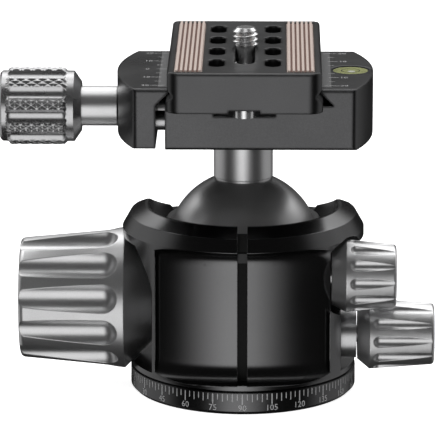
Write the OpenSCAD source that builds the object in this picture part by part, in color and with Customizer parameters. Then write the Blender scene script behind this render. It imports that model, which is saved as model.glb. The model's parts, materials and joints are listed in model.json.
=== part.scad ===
// Tripod ball head with a screw clamp and a sliding quick-release plate.
// Millimetres; origin at the centre of the base's underside, Z up, front toward -Y.

/* [Panning base] */
// Radius of the panning disc
base_r = 28.25; // [27.8:0.05:28.6]
// Height of the panning disc
base_h = 5.8; // [5.4:0.1:6.2]
// Chamfer under the disc's rim
base_edge = 0.9; // [0.4:0.1:1.4]
// Chamfer on top of the disc's rim
base_lip = 0.25; // [0.1:0.05:0.4]
// Radius of the hub that the housing turns on
hub_r = 13; // [12.6:0.1:13.4]
// Height of the hub's top face
hub_top = 13.5; // [13.3:0.1:13.8]
// Inner radius of the relief ring under the disc
relief_in = 18; // [16:0.5:19]
// Outer radius of the relief ring under the disc
relief_out = 24.5; // [23:0.5:25]
// Depth of the relief ring
relief_d = 0.5; // [0.3:0.1:0.8]

/* [Tripod socket] */
// Wall radius of the tripod thread, 3/8 inch
socket_r = 4.76; // [4.7:0.01:4.8]
// Depth of the tripod thread
socket_depth = 9; // [8:0.1:9.4]
// Lead-in chamfer at the mouth
socket_lead = 0.4; // [0.3:0.1:0.5]
// Radius of the threaded bush
bush_r = 7.5; // [7:0.1:7.9]
// Height of the bush
bush_h = 9.6; // [9.5:0.1:9.9]
// Width of the bush's driver slot
bush_slot_w = 1.6; // [1.2:0.1:2]
// Depth of the bush's driver slot
bush_slot_d = 1.2; // [0.8:0.1:1.5]

/* [Fits] */
// Radial clearance where one piece turns or slides in another
run_gap = 0.05; // [0.03:0.01:0.08]
// Clearance round pressed and screwed-in pieces
press_gap = 0.02; // [0.01:0.01:0.03]
// Gap between pieces that move past each other
move_gap = 0.3; // [0.25:0.01:0.35]
// Overrun of every cut
over = 0.5; // [0.3:0.1:0.7]

/* [Turntable] */
// Inner radius of the glide ring
glide_in = 14.5; // [14:0.1:16]
// Outer radius of the glide ring
glide_out = 24; // [22:0.1:25]
// Thickness of the glide ring
glide_t = 0.3; // [0.25:0.05:0.35]
// Radius of the retaining disc
retainer_r = 16; // [15.6:0.1:16.2]
// Hole in the retaining disc
retainer_in = 6; // [5:0.1:6.8]
// Thickness of the retaining disc
retainer_t = 3.6; // [3.4:0.05:3.7]
// Radius that the retaining screws stand on
ret_pitch_r = 10.3; // [10.1:0.05:10.4]
// Thread radius of the retaining screws
ret_screw_r = 1.5; // [1.3:0.05:1.6]
// Head radius of the retaining screws
ret_head_r = 2.8; // [2.6:0.05:2.9]
// Head height of the retaining screws
ret_head_h = 1.5; // [1.3:0.05:1.6]
// Thread length of the retaining screws
ret_screw_l = 5.6; // [5:0.1:6]
// Hex socket of the retaining screws, corner radius
ret_hex_r = 1.15; // [1:0.05:1.3]

/* [Housing] */
// Half width of the housing across its sides
house_half = 28.1; // [27.8:0.05:28.3]
// Plan radius of each bowed side
side_r = 36; // [34:0.5:38]
// Plan radius that rounds the four corners
corner_r = 30.2; // [30:0.05:30.4]
// Height of the foot flange's flat top
shelf_z = 7.5; // [7.3:0.1:7.8]
// Height where the rim starts to draw in
band_z = 41.4; // [41:0.1:41.6]
// Radius at the foot of the rim's chamfer
rim_r = 28.3; // [28.1:0.05:28.5]
// Height at the foot of the rim's chamfer
rim_z = 44.8; // [44.5:0.1:45]
// Radius at the top of the rim's chamfer
mouth_r = 24.6; // [24.4:0.05:24.8]
// Height of the rim
top_z = 46.9; // [46.6:0.1:47.2]
// Radius of the bore above the seat ring's ledge
upper_bore_r = 23.8; // [23.7:0.05:23.9]
// Height of the seat ring's ledge
ledge_z = 37.5; // [37.2:0.1:37.8]
// Radius of the room round the ball
room_r = 20.4; // [20.2:0.05:20.6]
// Height of the turntable web's top face
web_top = 13.3; // [13.1:0.05:13.3]
// Height where the retaining disc's pocket ends
pocket_z = 17.9; // [17.8:0.05:18]
// Height where the ball room starts
room_z = 26.9; // [26.8:0.1:27.4]
// Length from the pan axis to where the rear rim starts to fall
fall_y = 4.5; // [3.5:0.1:5.5]
// Fall of the rear rim for each unit of depth
fall_share = 0.4; // [0.36:0.01:0.44]
// Length from the pan axis to where the rear rim drops
drop_y = 14.8; // [14.4:0.1:15.2]
// Depth that the rear rim's drop takes up
drop_l = 2; // [1.6:0.1:2.4]
// Height of the rear rim's low flat
rear_z = 40.3; // [40.2:0.1:40.6]
// Half width of the rear drop notch
notch_half = 8.6; // [8.3:0.1:9]
// Height of the rear drop notch's axis
notch_z = 35.8; // [35.6:0.05:36]

/* [Housing pockets] */
// Half width of the front and back pockets
panel_half = 21.7; // [21.4:0.1:22]
// Distance of the pocket wall from the pan axis
panel_y = 24.3; // [24.2:0.05:24.5]
// Plan radius of the pocket wall
panel_r = 50; // [46:1:54]
// Rounding under and over the pocket wall
panel_round = 5; // [4.4:0.1:5.4]
// Height of the pocket's upper edge
panel_top = 41.6; // [41.2:0.1:41.9]
// Width of the index groove
index_w = 2.4; // [2:0.1:2.8]
// Distance of the index groove's floor from the pan axis
index_y = 23.3; // [23.1:0.05:23.5]
// Radius of the side recesses
cheek_r = 21; // [20.6:0.1:21.4]
// Height of the side recesses' centre
cheek_z = 23.8; // [23.4:0.1:24.2]
// Height of the side recesses' upper edge
cheek_top = 39.4; // [39.2:0.1:39.8]
// Distance of the main knob's recess from the pan axis
cheek_x = 22.4; // [22.2:0.05:22.6]
// Distance of the small knobs' recess from the pan axis
far_cheek_x = 24.4; // [24.2:0.05:24.6]
// Radius of the spot face behind the friction knob
spot_r = 9.8; // [9.6:0.1:10]
// Distance of that spot face from the pan axis
spot_x = 21.7; // [21.5:0.05:21.8]

/* [Ball] */
// Radius of the ball
ball_r = 19.1; // [19:0.05:19.15]
// Height of the ball's centre
ball_z = 35.8; // [35.6:0.05:36]
// Radius of the neck
neck_r = 7.38; // [7.2:0.02:7.5]
// Height of the neck's top, under the clamp
neck_top = 65.8; // [65.4:0.1:66.2]
// Length of neck let into the clamp
neck_in = 0.8; // [0.6:0.1:1]
// Depth of the groove at the foot of the neck
foot_d = 0.4; // [0.3:0.05:0.5]
// Width of the groove at the foot of the neck
foot_w = 0.7; // [0.5:0.1:1]
// Height of the ball cup's lower face
cup_low = 18.2; // [18.15:0.05:18.3]
// Height of the ball cup's upper face
cup_top = 26; // [25.6:0.1:26.4]
// Outer radius of the ball cup
cup_r = 18.4; // [18.3:0.05:18.5]
// Opening under the ball cup
cup_in = 9.5; // [9:0.1:10]
// Depth of the groove round the ball cup
cup_groove_d = 2.4; // [2.2:0.1:2.6]
// Height of the seat ring's flange
ring_flange_h = 2.5; // [2.2:0.1:2.8]
// Outer radius of the seat ring's collar at its foot
collar_r = 20.2; // [20:0.05:20.4]
// Outer radius of the seat ring's collar at its top
collar_top_r = 19; // [18.8:0.05:19.2]
// Height of the collar's top
collar_z = 43.3; // [43:0.1:43.6]

/* [Main knob] */
// Height of the main knob's axis
main_z = 22.4; // [22.2:0.05:22.6]
// Radius at the knob's crest
main_crest_r = 17.7; // [17.5:0.05:17.9]
// Radius at the knob's outer end
main_end_r = 15.1; // [14.9:0.05:15.3]
// Distance of the knob's inner face from the pan axis
main_in_x = 22.7; // [22.65:0.05:22.9]
// Radius of the knob's inner face
main_in_r = 10.8; // [10.4:0.1:11.2]
// Length of the dark cone behind the crest
main_cone_l = 6.9; // [6.7:0.1:7.1]
// Length of the whole knob
main_l = 33.2; // [33:0.1:33.4]
// Radius of the flutes
main_flute_r = 3.75; // [3.6:0.05:3.9]
// Distance of the flutes' centre from the knob's axis
main_flute_c = 18.1; // [18:0.05:18.3]
// Length from the crest to the flutes' rounded end
main_flute_in = 1.6; // [1.4:0.1:1.9]
// Angle of the first flute from the front
main_turn = 13.2; // [0:0.1:30]
// Rounding of the outer end
main_round = 1.5; // [1.3:0.1:1.7]
// Radius of the main spindle
main_rod_r = 5; // [4.8:0.05:5.1]
// Radius of the spindle's tip
main_tip_r = 0.7; // [0.6:0.05:0.9]
// Radius of the knob's end screw head
main_cap_r = 5.5; // [5:0.1:6]
// Height of the knob's end screw head
main_cap_h = 1.9; // [1.7:0.1:2]
// Depth of the end screw's hex socket
main_hex_d = 1.1; // [0.9:0.1:1.3]
// Depth of the recess in the knob's outer end
main_dish_d = 2.2; // [2:0.1:2.6]

/* [Friction knob] */
// Distance of the friction knob's axis in front of the pan axis
fric_y = 14.6; // [14.4:0.1:14.8]
// Height of the friction knob's axis
fric_z = 32.1; // [32:0.05:32.2]
// Distance of the knob's inner face from the pan axis
fric_in_x = 22; // [22:0.05:22.1]
// Radius of the knob's inner face
fric_in_r = 7.2; // [7:0.1:7.4]
// Length of the dark cone behind the crest
fric_cone_l = 3.6; // [3.4:0.1:3.8]
// Radius at the crest
fric_crest_r = 9; // [8.9:0.05:9.1]
// Radius at the outer end
fric_end_r = 7.8; // [7.7:0.05:7.9]
// Length of the whole knob
fric_l = 16; // [15.8:0.1:16.2]
// Angle of the first flute from the front
fric_turn = 0.8; // [0:0.1:30]
// Radius of the friction spindle
fric_rod_r = 3; // [2.9:0.05:3.1]
// Distance of the friction pad's outer end from the pan axis
fric_pad_x = 17; // [16.6:0.1:17.4]
// Length of the friction pad
fric_pad_l = 7.5; // [7:0.1:8]

/* [Pan lock knob] */
// Distance of the pan lock knob's axis in front of the pan axis
pan_y = 9; // [8.8:0.1:9.4]
// Height of the pan lock knob's axis
pan_z = 15.7; // [15.65:0.01:15.72]
// Distance of the knob's inner face from the pan axis
pan_in_x = 28.6; // [28.5:0.05:28.8]
// Radius of the knob's inner face
pan_in_r = 6.3; // [6.1:0.1:6.5]
// Length of the dark cone behind the crest
pan_cone_l = 3; // [2.8:0.1:3.2]
// Radius at the crest
pan_crest_r = 8.8; // [8.7:0.05:8.9]
// Radius at the outer end
pan_end_r = 7.6; // [7.5:0.05:7.7]
// Length of the whole knob
pan_l = 19.1; // [18.9:0.1:19.3]
// Angle of the first flute from the front
pan_turn = 0.9; // [0:0.1:30]
// Radius of the plain boss behind the knob
boss_r = 6; // [5.8:0.05:6.1]
// Radius of the boss's spigot in the housing
boss_spigot_r = 3.6; // [3.4:0.1:3.8]
// Length of the boss's spigot
boss_spigot_l = 4; // [3.6:0.1:4.2]
// Radius of the pan lock spindle
pan_rod_r = 2.1; // [2.05:0.01:2.12]
// Distance of the brake pad's outer end from the pan axis
pan_pad_x = 17; // [16.6:0.1:17.4]
// Length of the brake pad
pan_pad_l = 4.5; // [4:0.1:5]

/* [Small knobs] */
// Radius of the small knobs' flutes
small_flute_r = 1.55; // [1.5:0.05:1.7]
// Distance of the flutes' centre outside the outer end's radius
small_flute_out = 1.5; // [1.4:0.05:1.6]
// Length from the crest to the flutes' rounded end
small_flute_in = 0.9; // [0.7:0.1:1.1]
// Rounding of the outer end
small_round = 0.9; // [0.7:0.1:1.1]
// Depth of the recess in the outer end
small_dish_d = 1; // [0.8:0.1:1.3]
// Flutes on each of the three lower knobs
flute_n = 12; // [11, 12, 13]

/* [Clamp] */
// Sideways offset of the clamp, jaw and plate
clamp_x = 0.45; // [0.3:0.05:0.6]
// Half depth of the clamp
clamp_half = 23; // [22.6:0.1:23.4]
// Height of the clamp from its lower to its top face
clamp_h = 15.2; // [15:0.1:15.4]
// Distance of the right end from the pan axis
clamp_end = 32.2; // [32:0.05:32.4]
// Distance of the jaw's end from the pan axis
jaw_end = 31.3; // [31.1:0.05:31.5]
// Plan radius of the bowed ends
bow_r = 58; // [54:1:62]
// Rounding of the upright corners
clamp_round = 1.5; // [1.2:0.1:1.8]
// Chamfer along the front and back edges
clamp_edge = 0.6; // [0.4:0.1:0.8]
// Height of the slot's floor above the clamp's lower face
floor_h = 11.1; // [10.9:0.05:11.2]
// Half width of the slot at its floor
slot_half = 21.7; // [21.6:0.05:21.8]
// Half width between the noses
nose_half = 18.3; // [18.2:0.05:18.4]
// Distance of the body's left face from the pan axis
body_left = 18.95; // [18.8:0.05:19.1]
// Height of the jaw above the clamp's lower face
jaw_lift = 0.3; // [0.2:0.05:0.4]
// Half width of the relief channel
channel_half = 7.55; // [7.4:0.05:7.7]
// Height of the relief channel's floor above the clamp's lower face
channel_h = 8.4; // [8.2:0.1:8.8]
// Distance of the channel's end wall from the middle
channel_y = 13; // [12.6:0.1:13.4]
// Thread radius of the clamp bolt
bolt_r = 3; // [2.9:0.05:3.1]
// Head radius of the clamp bolt
bolt_head_r = 5; // [4.8:0.1:5.2]
// Head height of the clamp bolt
bolt_head_h = 5; // [4.6:0.1:5.4]
// Height of the clamp bolt's seat above the clamp's lower face
bolt_seat_h = 4.2; // [3.8:0.1:4.6]
// Length of the clamp bolt below its seat
bolt_l = 14; // [13:0.5:15]
// Hex socket of the clamp bolt, corner radius
bolt_hex_r = 2.85; // [2.6:0.05:3]

/* [Jaw drive] */
// Height of the clamp screw's and the guide pins' axes above the clamp's lower face
screw_h = 5.9; // [5.7:0.05:6]
// Thread radius of the clamp screw
screw_r = 3; // [2.8:0.05:3.1]
// Distance of the screw's inner end from the pan axis
screw_end = 8; // [7.6:0.1:8.4]
// Radius of the knob's plain sleeve
sleeve_r = 4.95; // [4.8:0.05:5.1]
// Distance of the guide pins from the screw
pin_y = 16; // [15.6:0.1:16.4]
// Radius of the guide pins
pin_r = 2.4; // [2.2:0.05:2.6]
// Length of the guide pins in the body
pin_deep = 7; // [6:0.5:8]
// Length of the guide pins in the jaw
pin_out = 5.4; // [5:0.1:5.6]
// Distance of the knob's inner face from the pan axis
grip_in_x = 40.2; // [40:0.1:40.4]
// Length of the clamp knob
grip_l = 20.2; // [20:0.1:20.4]
// Radius over the knob's ridges
grip_r = 9.9; // [9.7:0.05:10]
// Radius of the collars at the knob's ends
grip_collar_r = 8.8; // [8.6:0.05:9]
// Length of each collar
grip_collar_l = 1.6; // [1.4:0.1:1.8]
// Slope length at each end of the ridges
grip_slope = 1; // [0.8:0.1:1.2]
// Radius of the knob's inner cone at its foot
grip_cone_r = 6.2; // [6:0.1:6.6]
// Length of the knob's inner cone
grip_cone_l = 1.8; // [1.6:0.1:2]
// Radius of the scoops between the ridges
grip_scoop_r = 2.2; // [2:0.05:2.4]
// Distance of the scoops' centre from the axis
grip_scoop_c = 10.7; // [10.6:0.05:10.8]
// Scoops round the clamp knob
grip_n = 10; // [9, 10, 11]

/* [Level] */
// Distance of the level from the pan axis
level_x = 26.55; // [26.4:0.05:26.6]
// Radius of the level's ring
level_r = 5.2; // [5.1:0.05:5.25]
// Wall of the level's ring
level_wall = 0.5; // [0.4:0.05:0.6]
// Depth of the level's seat
level_d = 2.8; // [2.6:0.1:2.9]
// Thickness of the ring's floor
level_floor = 0.4; // [0.3:0.1:0.5]
// Depth of the vial's face under the clamp's top
vial_low = 0.15; // [0.1:0.05:0.25]

/* [Plate] */
// Half length of the plate
plate_half = 32.4; // [32.2:0.1:32.6]
// Gap under the plate
plate_gap = 0.05; // [0.04:0.01:0.06]
// Thickness of the plate
plate_t = 9.91; // [9.65:0.02:10.05]
// Half width of the plate's dovetail foot
lip_half = 19; // [18.95:0.05:19.05]
// Height of the foot's upright edge
lip_h = 2.25; // [2.2:0.05:2.3]
// Half width of the plate's waist
waist_half = 17.3; // [17.25:0.05:17.4]
// Height of the waist's upright part
waist_h = 0.2; // [0.1:0.05:0.3]
// Half width of the plate's top
plate_wide = 18.7; // [18.6:0.05:18.8]
// Rounding of the plate's corners
plate_round = 3.5; // [3.2:0.1:3.8]
// Chamfer round the plate's top
plate_edge = 0.4; // [0.3:0.05:0.5]
// Distance of the oblong holes from the plate's middle
hole_x = 6.85; // [6.7:0.05:7]
// Width of the oblong holes
hole_w = 3.9; // [3.7:0.05:3.95]
// Length of the oblong holes
hole_l = 9; // [8.6:0.1:9.4]
// Spacing of the oblong holes
hole_step = 13.7; // [13.4:0.1:14]
// Offset of the middle of the row of holes
hole_mid = 0.9; // [0.7:0.1:1.1]
// Width of the centre slot
slot_w = 4.9; // [4.8:0.05:5]
// Length of the centre slot
slot_l = 42; // [41:0.5:43]
// Width of the notch under the plate
under_w = 7.6; // [7.4:0.1:7.8]
// Depth of the notch under the plate
under_d = 0.75; // [0.7:0.05:0.8]

/* [Grip strips] */
// Distance of the strips from the plate's middle
strip_x = 13.6; // [13.5:0.05:13.7]
// Width of the strips
strip_w = 6.7; // [6.5:0.1:6.8]
// Distance of the strips' ends from the plate's ends
strip_in = 2.4; // [2.2:0.1:2.8]
// Depth that the strips are let in
strip_d = 0.8; // [0.7:0.05:0.9]
// Height that the strips stand proud
strip_h = 0.35; // [0.3:0.05:0.4]
// Width of the grooves in the strips
strip_groove_w = 0.5; // [0.4:0.05:0.55]
// Depth of the grooves in the strips
strip_groove_d = 0.5; // [0.4:0.05:0.6]
// Ribs on each strip
rib_n = 6; // [5, 6, 7]

/* [Plate screws] */
// Thread radius of the camera screw, 1/4 inch
cam_r = 3.175; // [3.15:0.005:3.2]
// Height of the camera screw's tip above the plate
cam_out = 4.94; // [4.74:0.1:5.14]
// Height of the thread's foot above the plate
cam_foot_out = 0.44; // [0.34:0.05:0.54]
// Chamfer at the tip
cam_tip = 1; // [0.8:0.1:1.2]
// Radius of the plain shank
cam_shank_r = 2.3; // [2.2:0.05:2.38]
// Head radius of the camera screw
cam_head_r = 6.5; // [6.3:0.1:6.6]
// Head height of the camera screw
cam_head_h = 2.6; // [2.4:0.1:2.8]
// Gap between the head and the slot under the plate
cam_low = 0.5; // [0.4:0.05:0.6]
// Width of the coin slot
coin_w = 1.4; // [1.2:0.1:1.6]
// Depth of the coin slot
coin_d = 1.2; // [1:0.1:1.4]
// Distance of the stop screws from the plate's ends
stop_in = 2.8; // [2.7:0.1:3]
// Head radius of the stop screws
stop_r = 2.6; // [2.5:0.05:2.7]
// Height of the stop screws' heads
stop_h = 2; // [1.9:0.05:2.2]
// Thread radius of the stop screws
stop_thread_r = 1.25; // [1.2:0.05:1.35]
// Thread length of the stop screws
stop_l = 4; // [3.6:0.1:4.4]
// Hex socket of the stop screws, corner radius
stop_hex_r = 1; // [0.9:0.05:1.1]

/* [Hidden] */
$fn = 72;

foot_z = base_h + glide_t;
seat_r = ball_r + run_gap;
cup_bore_r = cup_r + run_gap;
pocket_r = retainer_r + move_gap;
body_r = side_r - house_half;
spindle_in = cup_r - cup_groove_d + move_gap;
cup_groove_half = cup_groove_d + main_tip_r;
clamp_top = neck_top + clamp_h;
floor_z = neck_top + floor_h;
nose_z = floor_z + slot_half - nose_half;
channel_z = neck_top + channel_h;
bolt_seat_z = neck_top + bolt_seat_h;
screw_z = neck_top + screw_h;
plate_z = floor_z + plate_gap;
plate_top = plate_z + plate_t;
lip_top = plate_z + lip_h;
waist_z = lip_top + lip_half - waist_half;
wide_z = waist_z + waist_h + plate_wide - waist_half;
under_z = plate_z + under_d;
strip_half = plate_half - strip_in;
stop_y = plate_half - stop_in;
stop_z = under_z - stop_h;
cam_top = plate_top + cam_out;
cam_foot = plate_top + cam_foot_out;
cam_seat_z = under_z + cam_low + cam_head_h;
channel_end = clamp_half + over;
far = corner_r + base_r;
level_seat_z = clamp_top - level_d;
grip_ridge_in = grip_cone_l + grip_collar_l;
jaw_face = slot_half - clamp_x;
main_back = main_in_x + main_cone_l;
knob_gap = 2 * move_gap;
to_front = 90;

// Round bar along X
module bar_x(from_x, to_x, r, y = 0, z = 0) {
    translate([from_x, y, z]) rotate([0, 90, 0]) cylinder(h = to_x - from_x, r = r);
}

// Tapered bar along X
module cone_x(from_x, to_x, r_from, r_to, y = 0, z = 0) {
    translate([from_x, y, z]) rotate([0, 90, 0]) cylinder(h = to_x - from_x, r1 = r_from, r2 = r_to);
}

// Upright tube
module tube(h, r_out, r_in) {
    difference() {
        cylinder(h = h, r = r_out);
        translate([0, 0, -over]) cylinder(h = h + 2 * over, r = r_in);
    }
}

// Block given by two corners
module block(low, high) {
    translate(low) cube(high - low);
}

// Outline drawn in X and Z, run along Y
module run_y(y_from, y_to) {
    translate([0, y_to, 0]) rotate([90, 0, 0]) linear_extrude(y_to - y_from) children();
}

// Outline drawn in Y and Z, run along X
module run_x(x_from, x_to) {
    translate([x_from, 0, 0]) rotate([90, 0, 90]) linear_extrude(x_to - x_from) children();
}

module pan_base() {
    color([0.1, 0.1, 0.1]) difference() {
        union() {
            rotate_extrude() polygon([[0, 0], [base_r - base_edge, 0], [base_r, base_edge],
                [base_r, base_h - base_lip], [base_r - base_lip, base_h], [0, base_h]]);
            cylinder(h = hub_top, r = hub_r);
        }
        translate([0, 0, -over]) cylinder(h = bush_h + over, r = bush_r + press_gap);
        translate([0, 0, -over]) tube(relief_d + over, relief_out, relief_in);
        retainer_places() translate([0, 0, hub_top - ret_screw_l])
            cylinder(h = ret_screw_l + over, r = ret_screw_r + press_gap);
    }
}

module thread_bush() {
    color([0.7, 0.7, 0.72]) difference() {
        cylinder(h = bush_h, r = bush_r);
        translate([0, 0, -over]) cylinder(h = socket_depth + over, r = socket_r);
        translate([0, 0, -over])
            cylinder(h = socket_lead + over, r1 = socket_r + socket_lead + over, r2 = socket_r);
        translate([-bush_r - over, -bush_slot_w / 2, -over])
            cube([2 * bush_r + 2 * over, bush_slot_w, bush_slot_d + over]);
    }
}

module pan_glide_ring() {
    color([0.85, 0.85, 0.8]) translate([0, 0, base_h]) tube(glide_t, glide_out, glide_in);
}

module retainer_places() {
    for (i = [0:2]) rotate([0, 0, 90 + i * 120]) translate([ret_pitch_r, 0, 0]) children();
}

module pan_retainer() {
    color([0.6, 0.6, 0.62]) difference() {
        translate([0, 0, hub_top]) tube(retainer_t, retainer_r, retainer_in);
        retainer_places() {
            translate([0, 0, hub_top - over])
                cylinder(h = retainer_t + 2 * over, r = ret_screw_r + run_gap);
            translate([0, 0, hub_top + retainer_t - ret_head_h]) cylinder(h = ret_head_h + over,
                r1 = ret_screw_r + run_gap, r2 = ret_head_r + run_gap + over);
        }
    }
}

module retainer_screws() {
    color([0.5, 0.5, 0.52]) retainer_places() translate([0, 0, hub_top + retainer_t]) difference() {
        union() {
            translate([0, 0, -retainer_t - ret_screw_l + move_gap])
                cylinder(h = retainer_t + ret_screw_l - ret_head_h, r = ret_screw_r);
            translate([0, 0, -ret_head_h])
                cylinder(h = ret_head_h - move_gap / 2, r1 = ret_screw_r, r2 = ret_head_r - move_gap);
        }
        translate([0, 0, -ret_head_h]) cylinder(h = ret_head_h + over, r = ret_hex_r, $fn = 6);
    }
}

// Outside of the housing: four bowed sides, rounded corners and a chamfered rim
module housing_skin() {
    intersection() {
        rotate_extrude() polygon([[0, shelf_z], [corner_r, shelf_z], [corner_r, band_z],
            [rim_r, rim_z], [mouth_r, top_z], [0, top_z]]);
        for (a = [0:90:270]) rotate([0, 0, a]) translate([-body_r, 0, 0])
            cylinder(h = top_z + over, r = side_r, $fn = 144);
    }
}

// Wall pocket with rounded upper and lower edges, sunk into the front and the back
module panel_cut() {
    depth = corner_r;
    height = panel_top - shelf_z;
    intersection() {
        translate([0, panel_r - panel_y, 0]) rotate_extrude($fn = 180) translate([panel_r, shelf_z]) {
            translate([0, panel_round]) square([depth, height - 2 * panel_round]);
            translate([panel_round, 0]) square([depth - panel_round, height]);
            translate([panel_round, panel_round]) circle(r = panel_round);
            translate([panel_round, height - panel_round]) circle(r = panel_round);
        }
        block([-panel_half, -far, shelf_z], [panel_half, 0, panel_top]);
    }
}

// Round recess for a knob, open down to the shelf, on the side that X points to
module cheek_cut(x) {
    intersection() {
        union() {
            bar_x(x, far, cheek_r, 0, cheek_z);
            block([x, -cheek_r, shelf_z], [far, cheek_r, cheek_z]);
        }
        block([x, -far, shelf_z], [far, far, cheek_top]);
    }
}

// Notch that the neck drops into
module drop_notch() {
    translate([0, far, notch_z]) rotate([90, 0, 0]) cylinder(h = far - collar_top_r / 2, r = notch_half);
    block([-notch_half, collar_top_r / 2, notch_z], [notch_half, far, top_z + over]);
}

module housing_bores() {
    translate([0, 0, foot_z - over]) cylinder(h = top_z, r = hub_r + run_gap);
    translate([0, 0, web_top]) cylinder(h = top_z, r = pocket_r);
    translate([0, 0, pocket_z]) cylinder(h = top_z, r = cup_bore_r);
    translate([0, 0, room_z]) cylinder(h = top_z, r = room_r);
    translate([0, 0, ledge_z]) cylinder(h = top_z, r = upper_bore_r);
    bar_x(-far, 0, main_rod_r + run_gap, 0, main_z);
    bar_x(0, far, fric_rod_r + run_gap, -fric_y, fric_z);
    bar_x(0, far, pan_rod_r + run_gap, -pan_y, pan_z);
    bar_x(far_cheek_x - boss_spigot_l, far, boss_spigot_r + press_gap, -pan_y, pan_z);
}

// Room for the main knob's inner cone in the foot flange
module main_knob_room() {
    cone_x(-main_back, -main_in_x, main_crest_r + knob_gap, main_in_r + knob_gap, 0, main_z);
    bar_x(-far, -main_back, main_crest_r + knob_gap, 0, main_z);
}

module rear_fall() {
    drop_z = top_z - (drop_y - fall_y) * fall_share;
    run_x(-far, far) polygon([[fall_y - over / fall_share, top_z + over], [fall_y, top_z],
        [drop_y, drop_z], [drop_y + drop_l, rear_z], [far, rear_z], [far, top_z + over]]);
}

module housing() {
    color([0.08, 0.08, 0.08]) difference() {
        union() {
            translate([0, 0, foot_z]) cylinder(h = shelf_z - foot_z, r = house_half);
            housing_skin();
        }
        housing_bores();
        panel_cut();
        rotate([0, 0, 180]) panel_cut();
        block([-index_w / 2, -far, shelf_z], [index_w / 2, -index_y, top_z + over]);
        cheek_cut(far_cheek_x);
        rotate([0, 0, 180]) cheek_cut(cheek_x);
        bar_x(spot_x, far, spot_r, -fric_y, fric_z);
        main_knob_room();
        rear_fall();
        drop_notch();
    }
}

module ball_cup() {
    color([0.75, 0.75, 0.72]) difference() {
        translate([0, 0, cup_low]) tube(cup_top - cup_low, cup_r, cup_in);
        translate([0, 0, ball_z]) sphere(r = seat_r, $fn = 144);
        rotate_extrude() polygon([[cup_r + over, main_z - cup_groove_half - over],
            [cup_r - cup_groove_d, main_z - main_tip_r], [cup_r - cup_groove_d, main_z + main_tip_r],
            [cup_r + over, main_z + cup_groove_half + over]]);
    }
}

module seat_ring() {
    color([0.12, 0.12, 0.12]) difference() {
        union() {
            translate([0, 0, ledge_z]) cylinder(h = ring_flange_h, r = upper_bore_r - run_gap);
            translate([0, 0, ledge_z + ring_flange_h])
                cylinder(h = collar_z - ledge_z - ring_flange_h, r1 = collar_r, r2 = collar_top_r);
        }
        translate([0, 0, ball_z]) sphere(r = seat_r, $fn = 144);
        drop_notch();
    }
}

module ball_stem() {
    foot = sqrt(ball_r * ball_r - neck_r * neck_r);
    color([0.55, 0.55, 0.56]) difference() {
        union() {
            translate([0, 0, ball_z]) sphere(r = ball_r, $fn = 144);
            translate([0, 0, ball_z]) cylinder(h = neck_top + neck_in - ball_z, r = neck_r);
        }
        translate([0, 0, ball_z + foot]) tube(foot_w, ball_r, neck_r - foot_d);
        translate([0, 0, bolt_seat_z - bolt_l - move_gap])
            cylinder(h = bolt_l, r = bolt_r + run_gap);
    }
}

// Rounded-end cutter for one flute, along Z
module flute(from_z, to_z, r) {
    translate([0, 0, from_z + r]) cylinder(h = to_z - from_z - r, r = r);
    translate([0, 0, from_z + r]) sphere(r = r);
}

// Knob along Z: an inner cone, a tapered grip with flutes and a rounded, dished outer end
module fluted_knob(l, in_r, cone_l, crest_r, end_r, edge, rod_r, dish_r, dish_d, fl_r, fl_c, fl_in, turn) {
    low_r = end_r + (crest_r - end_r) * edge / (l - cone_l);
    difference() {
        union() {
            rotate_extrude($fn = 144) {
                polygon([[0, 0], [in_r, 0], [crest_r, cone_l], [low_r, l - edge], [0, l - edge]]);
                translate([low_r - edge, l - edge]) intersection() {
                    circle(r = edge);
                    square([edge, edge]);
                }
                translate([0, l - edge]) square([low_r - edge, edge]);
            }
        }
        translate([0, 0, -over]) cylinder(h = l, r = rod_r + press_gap);
        translate([0, 0, l - dish_d]) cylinder(h = dish_d + over, r = dish_r);
        for (i = [0:flute_n - 1]) rotate([0, 0, turn + i * 360 / flute_n])
            translate([fl_c, 0, 0]) flute(cone_l + fl_in, l + over, fl_r);
    }
}

module main_knob() {
    color([0.45, 0.45, 0.46]) translate([-main_in_x, 0, main_z]) rotate([0, -90, 0])
        fluted_knob(main_l, main_in_r, main_cone_l, main_crest_r, main_end_r, main_round, main_rod_r,
            main_cap_r + move_gap, main_dish_d, main_flute_r, main_flute_c, main_flute_in,
            main_turn - to_front);
}

module main_spindle() {
    tip_x = cup_r - cup_groove_d + move_gap;
    cone_l = main_rod_r - main_tip_r;
    rod_end = main_in_x + main_l - main_dish_d;
    color([0.65, 0.65, 0.66]) difference() {
        union() {
            cone_x(-tip_x - cone_l, -tip_x, main_rod_r, main_tip_r, 0, main_z);
            bar_x(-rod_end, -tip_x - cone_l, main_rod_r, 0, main_z);
        }
        bar_x(-far - rod_end, -rod_end + bolt_l, ret_screw_r + press_gap, 0, main_z);
    }
}

module main_cap_screw() {
    seat_x = main_in_x + main_l - main_dish_d;
    color([0.2, 0.2, 0.2]) difference() {
        union() {
            bar_x(-seat_x - main_cap_h, -seat_x, main_cap_r, 0, main_z);
            bar_x(-seat_x, -seat_x + bolt_l - move_gap, ret_screw_r, 0, main_z);
        }
        translate([-seat_x - main_cap_h - over, 0, main_z]) rotate([0, 90, 0])
            cylinder(h = main_hex_d + over, r = bolt_hex_r, $fn = 6);
    }
}

module friction_knob() {
    color([0.45, 0.45, 0.46]) translate([fric_in_x, -fric_y, fric_z]) rotate([0, 90, 0])
        fluted_knob(fric_l, fric_in_r, fric_cone_l, fric_crest_r, fric_end_r, small_round, fric_rod_r,
            fric_end_r - 2 * small_round, small_dish_d, small_flute_r, fric_end_r + small_flute_out,
            small_flute_in, -to_front - fric_turn);
}

module friction_spindle() {
    color([0.65, 0.65, 0.66])
        bar_x(fric_pad_x, fric_in_x + fric_l - small_dish_d, fric_rod_r, -fric_y, fric_z);
}

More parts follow.
